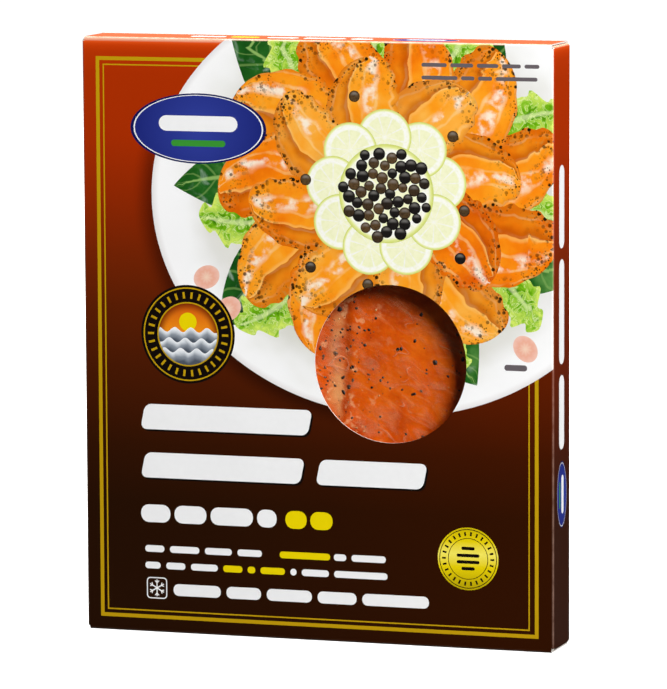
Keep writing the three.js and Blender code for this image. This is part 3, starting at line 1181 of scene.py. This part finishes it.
def chains(sides):
    """Closed loops of point numbers from directed sides, the longest first."""
    after = {int(a): int(b) for a, b in sides}
    loops = []
    while after:
        loop = [next(iter(after))]
        while (step := after.pop(loop[-1])) != loop[0]:
            loop.append(step)
        loops.append(loop)
    return sorted(loops, key=len, reverse=True)


def split_inside(loops):
    """The inner face: its points, its triangles, and for each point of the loops its own number."""
    loose = grid(front_start, FOLD, front_end, HEIGHT - FOLD, INNER_CELL)
    inner, faces, owners, sources = split([places[loop] for loop in loops], fold_lines(), loose)
    kept = [0 in owner and len(owner) == 1 for owner in owners]
    inner, faces, used = trimmed(inner, faces[kept])
    number = {source: k for k, old in enumerate(used) for source in sources[old]}
    return inner, faces, {int(point): number[k] for k, point in enumerate(np.concatenate(loops))}


rim_sides = cut_sides(triangles)
loops = chains(rim_sides)
inner_places, inner_triangles, inner_number = split_inside(loops)
print("loops", [len(loop) for loop in loops], "open sides", len(cut_sides(inner_triangles)) - len(rim_sides))


# %% Build the carton
def fold_wear_and_highlight(blank):
    """How much pale colour lies on each fold: its own amount in the middle, falling straight to 0 at its
    ends. On most folds it is partly rubbed ink and partly a painted highlight. The top fold of the front has
    by far the most, which is a painted highlight along it."""
    u, v = blank.T
    wear_and_highlight = np.zeros(len(u))
    for middle, amount in (
        (left_start - MIDDLE, 0.5),
        (front_start - MIDDLE, 0.6),
        (front_end + MIDDLE, 0.7),
        (right_end + MIDDLE, 0.5),
    ):
        wear_and_highlight = np.maximum(wear_and_highlight, amount * (1 - np.abs(u - middle) / MIDDLE))
    front = (u > front_start) & (u < front_end)
    # The front's top fold, at 3.6, carries a painted highlight.
    for middle, amount in ((FOLD - MIDDLE, 0.45), (HEIGHT - FOLD + MIDDLE, 3.6)):
        wear_and_highlight = np.maximum(wear_and_highlight, np.where(front, amount * (1 - np.abs(v - middle) / MIDDLE), 0))
    return wear_and_highlight


def build_board():
    """Folds the printed face and the inner face, joins them along the cut edge, and gives every corner
    its normal, its place on the blank and its pattern coordinates."""
    outer, outer_facing = fold_sheet(places)
    inner, inner_facing = fold_sheet(inner_places, BOARD)
    points = np.vstack([outer, inner])
    shift = len(outer)
    other = np.vectorize(inner_number.get)(rim_sides) + shift
    rim = np.column_stack([rim_sides[:, 1], rim_sides[:, 0], other[:, 0], other[:, 1]])
    rim = np.vstack([rim[:, [0, 1, 2]], rim[:, [0, 2, 3]]])
    inside = inner_triangles[:, ::-1] + shift
    corners = np.vstack([triangles, inside, rim])
    a, b, c = (points[rim[:, k]] for k in range(3))
    flat = np.cross(b - a, c - a)
    flat /= np.linalg.norm(flat, axis=1)[:, None] + 1e-12
    facing = np.vstack([outer_facing[triangles.ravel()], -inner_facing[inside.ravel() - shift]])
    facing = np.vstack([facing, np.repeat(flat, 3, axis=0)])

    board = make_mesh("carton_board", points, corners)
    mesh = board.data
    for name in ink_names:
        mesh.materials.append(inks[name])
    names = ["bare" if top == BARE else "ground" if top == GROUND else shapes[top]["ink"] for top in on_top]
    slots = [ink_names.index(name) for name in names]
    slots += [ink_names.index("bare")] * len(inside) + [ink_names.index("edge")] * len(rim)
    mesh.polygons.foreach_set("material_index", slots)
    mesh.polygons.foreach_set("use_smooth", np.ones(len(corners), dtype=bool))

    blank = np.vstack([places, inner_places])[corners.ravel()] / HEIGHT
    mesh.uv_layers.new(name="blank").data.foreach_set("uv", blank.ravel())
    pattern = np.zeros((len(corners) * 3, 4))
    pattern[:, 3] = 0.5
    for number in np.unique(on_top[on_top >= 0]):
        shape = shapes[number]
        rows = np.flatnonzero(np.repeat(on_top == number, 3))
        pattern[rows, 3] = shape["tone"]
        if shape["local"]:
            pattern[rows, :3] = shape["local"](places[triangles.ravel()[rows]])
    mesh.attributes.new("pattern", "FLOAT_COLOR", "CORNER").data.foreach_set("color", pattern.ravel())
    wear_and_highlight = np.append(fold_wear_and_highlight(places), np.zeros(len(inner_places)))[corners.ravel()]
    mesh.attributes.new("fold", "FLOAT", "CORNER").data.foreach_set("value", wear_and_highlight)
    mesh.normals_split_custom_set(facing)
    return board


board = build_board()
print("board triangles", len(board.data.polygons))

# %% [markdown]
# The fish behind the window
#
# Smoked salmon is packed as thin slices that overlap like shingles, and the film of a vacuum pack is
# drawn tight over them. The slices are one surface: each slice's own edge is a soft step, and a slow
# swell runs over all of them. The steps are the same rule as in the solid, on a finer grid.

# %% The rule for the slices
PACK_BACK = 8.9
PACK_FRONT = -1.3
PACK_HALF = 87.0
PACK_LOW = 2 * (BOARD + GAP)
PACK_HIGH = HEIGHT - PACK_LOW
BORDER = 1.8
BORDER_RISE = (5, 31)
NEAR_WINDOW = 36
SLICES = (
    (-62, 0.10, 2.4, 23, 0.4),
    (-33, 0.05, 2.0, 19, 1.9),
    (-9, 0.12, 1.8, 17, 4.1),
    (8.5, 0.08, 1.3, 13, 2.2),
    (52, -0.16, 2.2, 21, 0.9),
)
SLICE_STEP = 0.7
SLICE_ROUND = 4.0
SLICE_SWELL = 0.35


def smooth(value, low, high):
    """0 under low, 1 over high, and the smooth curve 3t^2 - 2t^3 between them."""
    t = np.clip((value - low) / (high - low), 0, 1)
    return t * t * (3 - 2 * t)


def slice_edge(number, z):
    """Where a slice's left edge lies at a height: a leaning line with a slow wave."""
    if number == len(SLICES):
        return np.full_like(z, PACK_HALF)
    x, lean, wave, length, phase = SLICES[number]
    rise = z - WINDOW_Z
    return x + lean * rise + wave * np.sin(rise / length + phase)


def slice_relief(x, z):
    """How far the slices stand proud: a step up at each slice's edge that sinks again to the next
    one's, and the swell of the pile."""
    proud = SLICE_SWELL * np.sin(x / 11 + z / 26) * np.cos(z / 13 - x / 33)
    for number in range(len(SLICES)):
        here, following = slice_edge(number, z), slice_edge(number + 1, z)
        step = smooth(x, here - SLICE_ROUND / 2, here + SLICE_ROUND / 2)
        proud += SLICE_STEP * step * (1 - smooth(x, here, following))
    return proud


def fish_front(x, z):
    """The depth of the pack's front: level with the sealed border at its edge, full inside it."""
    edge = np.minimum(PACK_HALF - np.abs(x), np.minimum(z - PACK_LOW, PACK_HIGH - z))
    inside = smooth(edge, *BORDER_RISE)
    return PACK_BACK - BORDER - inside * (PACK_BACK - PACK_FRONT - BORDER + slice_relief(x, z))


def spaced(low, high, middle, fine, coarse):
    """Values from low to high, close together near the middle and wide apart elsewhere."""
    near, far = middle - NEAR_WINDOW, middle + NEAR_WINDOW
    spans = ((low, near, coarse), (near, far, fine), (far, high, coarse))
    values = [np.linspace(a, b, int(np.ceil((b - a) / step)) + 1) for a, b, step in spans]
    return np.concatenate([values[0], values[1][1:], values[2][1:]])


def closed_slab(name, xs, zs, front, back):
    """A closed piece between two surfaces over one grid: the front faces the window, the back is its
    copy at another depth, and a wall joins their borders."""
    x, z = (part.ravel() for part in np.meshgrid(xs, zs))
    count = len(x)
    number = np.arange(count).reshape(len(zs), len(xs))
    corners = (number[:-1, :-1], number[:-1, 1:], number[1:, 1:], number[1:, :-1])
    quads = np.column_stack([corner.ravel() for corner in corners])
    border = np.concatenate([number[0, :-1], number[:-1, -1], number[-1, :0:-1], number[:0:-1, 0]])
    following = np.roll(border, -1)
    wall = np.column_stack([following, border, border + count, following + count])
    points = np.vstack([np.column_stack([x, depth(x, z), z]) for depth in (front, back)])
    faces = np.vstack([quads, quads[:, ::-1] + count, wall])
    made = make_mesh(name, points, faces)
    made.data.polygons.foreach_set("use_smooth", np.ones(len(faces), dtype=bool))
    return made


columns = spaced(-PACK_HALF, PACK_HALF, WINDOW_X, 0.5, 6.0)
rows = spaced(PACK_LOW, PACK_HIGH, WINDOW_Z, 0.5, 6.0)
slices = closed_slab("slices", columns, rows, fish_front, lambda x, z: np.full_like(x, PACK_BACK))
print("slices", len(slices.data.polygons), "faces")

# %% [markdown]
# Flesh
#
# The flesh is a deep orange with lighter and redder patches. Pale tan runs beside the slice's edge,
# where the fish was cut near the skin. Where the film clings the colour is clear, and where air or fat
# lies under it there is a milky pink haze. Fat shows as short pale lines.


# %% Flesh material
def flesh():
    shader = Shader("salmon flesh")
    across, _, up = shader.parts(shader.place)
    edge = shader.scaled(shader.math("SUBTRACT", up, WINDOW_Z * MM), 0.07, 0.0072)
    bend = shader.scaled(shader.noise(60, 4.0), 0.009, -0.0045)
    beside = shader.math("SUBTRACT", shader.math("SUBTRACT", across, edge), bend)
    band = shader.times(shader.grey(beside, -0.0068, -0.001), shader.grey(beside, 0.0028, 0.0))
    streaks = shader.noise(1.0, 7.0, shader.streaks(-0.5, 80, 250), Distortion=1.4)
    marks = shader.times(shader.grey(shader.noise(270, 5.0), 0.57, 0.68), 0.7)
    deep, middle, light = (0.3, (172, 52, 1)), (0.5, (214, 84, 1)), (0.68, (234, 108, 12))
    colour = shader.layers(
        shader.ramp(shader.noise(60, 7.0, Roughness=0.62), deep, middle, light),
        ((222, 158, 98), band, shader.grey(shader.noise(95, 7.0), 0.36, 0.66), 0.9),
        ((232, 136, 78), shader.grey(streaks, 0.53, 0.74), 0.5),
        ((238, 176, 124), marks, shader.grey(across, 0.034, 0.004)),
    )
    height = shader.scaled(shader.noise(900), 0.06, shader.noise(160, 3.0))
    return shader.finish(
        Base_Color=colour,
        Roughness=0.4,
        Normal=shader.bump(0.4, 0.0012, height),
        Specular_IOR_Level=0.3,
        Subsurface_Weight=0.1,
        Subsurface_Radius=(0.003, 0.0008, 0.0003),
        Subsurface_Scale=1.0,
    )


slices.data.materials.append(flesh())

# %% [markdown]
# Pepper
#
# Crushed pepper is strewn on the slices and is thickest beside the slice's edge. A flake is a flat
# lump with seven sides, half sunk in the flesh. The large flakes are the solid's own, from the same rule
# of chance, and finer ones fill in between them. Most are black, some are brown, and a few of the fine
# ones are the pale inside of the corn, so each flake carries a tone of its own.

# %% Scatter the pepper
FLAKE_SIDES = 7
FLAKE_SUNK = 0.04
CROWD_MIDDLE, CROWD_WIDTH = 7, 13


def chance(number, kind):
    """A repeatable number from 0 to 1 for a flake: the fraction of sin(12.9898 k + 78.233 q) * 43758.5453."""
    value = np.sin(number * 12.9898 + kind * 78.233) * 43758.5453
    return value - np.floor(value)


def blend(low, high, share):
    return low + (high - low) * share


def flakes(count, first, spread, sizes, rare, palest):
    """Flakes as flattened lumps with a ridge of seven points, a crest and a foot: their points, their
    faces, and each point's tone."""
    k = np.arange(first, first + count)
    x = WINDOW_X + spread * (2 * chance(k, 1) - 1)
    z = WINDOW_Z + spread * (2 * chance(k, 2) - 1)
    near = np.exp(-(((x - CROWD_MIDDLE) / CROWD_WIDTH) ** 2))
    kept = (np.hypot(x - WINDOW_X, z - WINDOW_Z) < spread) & (chance(k, 3) <= rare + (1 - rare) * near)
    k, x, z = k[kept, None], x[kept, None], z[kept, None]
    length = blend(*sizes, chance(k, 4) ** 2)
    width = length * blend(0.55, 0.95, chance(k, 5))
    turn = np.pi * chance(k, 6)
    step = np.arange(FLAKE_SIDES)
    angle = 2 * np.pi * (step + 0.35 * chance(k, 11 + step)) / FLAKE_SIDES
    reach = 0.5 * blend(0.78, 1.12, chance(k, 31 + step))
    along, aside = length * reach * np.cos(angle), width * reach * np.sin(angle)
    c, s = np.cos(turn), np.sin(turn)
    ring_x, ring_z = x + c * along - s * aside, z + s * along + c * aside
    thick = 0.3 * width
    points = [
        np.stack([ring_x, fish_front(ring_x, ring_z) - FLAKE_SUNK, ring_z], axis=2),
        np.stack([x + 0.1 * width, fish_front(x, z) - thick, z + 0.1 * width], axis=2),
        np.stack([x, fish_front(x, z) + thick, z], axis=2),
    ]
    base = np.arange(len(k))[:, None] * (FLAKE_SIDES + 2)
    here, following = base + step, base + (step + 1) % FLAKE_SIDES
    crest, foot = base + FLAKE_SIDES + 0 * step, base + FLAKE_SIDES + 1 + 0 * step
    faces = [np.stack([here, following, crest], axis=2), np.stack([following, here, foot], axis=2)]
    tones = np.repeat(palest * chance(k, 51), FLAKE_SIDES + 2)
    return np.concatenate(points, axis=1).reshape(-1, 3), np.concatenate(faces, axis=1).reshape(-1, 3), tones


def pepper_skin():
    shader = Shader("crushed pepper")
    tone = shader.scaled(shader.noise(700), 0.2, shader.math("ADD", shader.attribute("tone"), -0.1))
    black, dark = (0.45, (14, 12, 11)), (0.66, (38, 28, 22))
    colour = shader.ramp(tone, black, dark, (0.76, (96, 64, 38)), (0.86, (214, 158, 100)))
    normal = shader.bump(0.6, 0.0002, shader.noise(2600, 3.0))
    return shader.finish(Base_Color=colour, Roughness=0.5, Normal=normal)


large = flakes(210, 1, 34, (1.2, 2.3), 0.17, 0.75)
fine = flakes(480, 1001, 33, (0.45, 1.2), 0.1, 1.0)
pepper = make_mesh("pepper", np.vstack([large[0], fine[0]]), np.vstack([large[1], fine[1] + len(large[0])]))
tones = np.append(large[2], fine[2])
pepper.data.attributes.new("tone", "FLOAT", "POINT").data.foreach_set("value", tones)
pepper.data.materials.append(pepper_skin())
print("pepper flakes", len(pepper.data.vertices) // (FLAKE_SIDES + 2))

# %% [markdown]
# Film
#
# The film is clear and clings to the slices, so it shows by its gloss, by fine pale crease lines that are
# partly painted glints, and by a haze where it stands off the flesh. It is a thin closed sheet that follows
# the slices a quarter of a millimetre in front of them, and its alpha is low where it clings and higher in
# the haze and on the crease lines.

# %% Film
FILM_LIFT = 0.25
FILM_THICK = 0.08
FILM_INSET = 0.2
FILM_CREASE = 0.05


def film_front(x, z):
    """The slices' front, lifted, with shallow creases: two waves that cross at a slant."""
    creases = FILM_CREASE * np.sin(1.1 * x + 0.5 * z + 2 * np.sin(z / 7)) * np.sin(x / 9 - z / 6)
    return fish_front(x, z) - FILM_LIFT - FILM_THICK - creases


def film_skin():
    shader = Shader("clear film")
    slanted = shader.streaks(-0.45, 75, 150)
    haze = shader.grey(shader.noise(1.0, 8.0, slanted, Roughness=0.65, Distortion=0.9), 0.46, 0.74)
    # Pale crease lines in the film's alpha: partly creases, partly painted glints.
    crease_glint = shader.grey(shader.off(shader.noise(0.6, 2.0, slanted), 0.5), 0.014, 0.004)
    crease_glint = shader.times(crease_glint, shader.grey(shader.noise(85, 1.0), 0.56, 0.68))
    return shader.finish(
        Base_Color=(242, 166, 120),
        Roughness=0.2,
        Alpha=shader.scaled(crease_glint, 0.3, shader.times(haze, 0.2)),
        Normal=shader.bump(0.35, 0.0015, shader.noise(120, 4.0, Distortion=0.8)),
        Specular_IOR_Level=0.5,
    )


columns = spaced(-PACK_HALF + FILM_INSET, PACK_HALF - FILM_INSET, WINDOW_X, 0.7, 8.0)
rows = spaced(PACK_LOW + FILM_INSET, PACK_HIGH - FILM_INSET, WINDOW_Z, 0.7, 8.0)
film = closed_slab("film", columns, rows, film_front, lambda x, z: film_front(x, z) + FILM_THICK)
film.data.materials.append(film_skin())
print("film", len(film.data.polygons), "faces")

# %% [markdown]
# The floor, and what rides on what
#
# The photograph has a plain white ground, so the floor is white and wide. Nothing on the carton moves,
# so every piece rides on the root.

# %% Floor and bookkeeping
FLOOR_HALF = 4000.0


def glowing_floor():
    """A wide square just under the carton. Only the camera sees its glow, which is painted light: weaker near
    the carton, so that its shadow shows, and stronger further off, where the lamps' light falls off. For
    light and gloss the floor is dark.
    """
    corners = [(FLOOR_HALF * x, FLOOR_HALF * y, 0) for x, y in ((-1, -1), (1, -1), (1, 1), (-1, 1))]
    made = make_mesh("floor", corners, [(0, 1, 2, 3)])
    shader = Shader("white floor with camera glow")
    seen = shader.add("LightPath", out="Is Camera Ray")
    away = shader.distance(shader.place, (0, 0, 0))
    # Painted light: the floor's glow, seen by the camera only, grows with distance from the carton.
    glow = shader.scaled(shader.grey(away, 0.2, 0.9), 0.55, 0.45)
    tone = shader.mix(shader.noise(3), (250, 250, 250), (254, 254, 254))
    skin = shader.finish(
        Base_Color=shader.mix(seen, (22, 22, 22), tone),
        Roughness=0.6,
        Emission_Color=(255, 255, 255),
        Emission_Strength=shader.times(seen, glow),
    )
    made.data.materials.append(skin)
    return made


glowing_floor()
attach(board, "root")
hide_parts("carton")
for piece in (slices, pepper, film):
    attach(piece, "root")
    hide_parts("salmon")
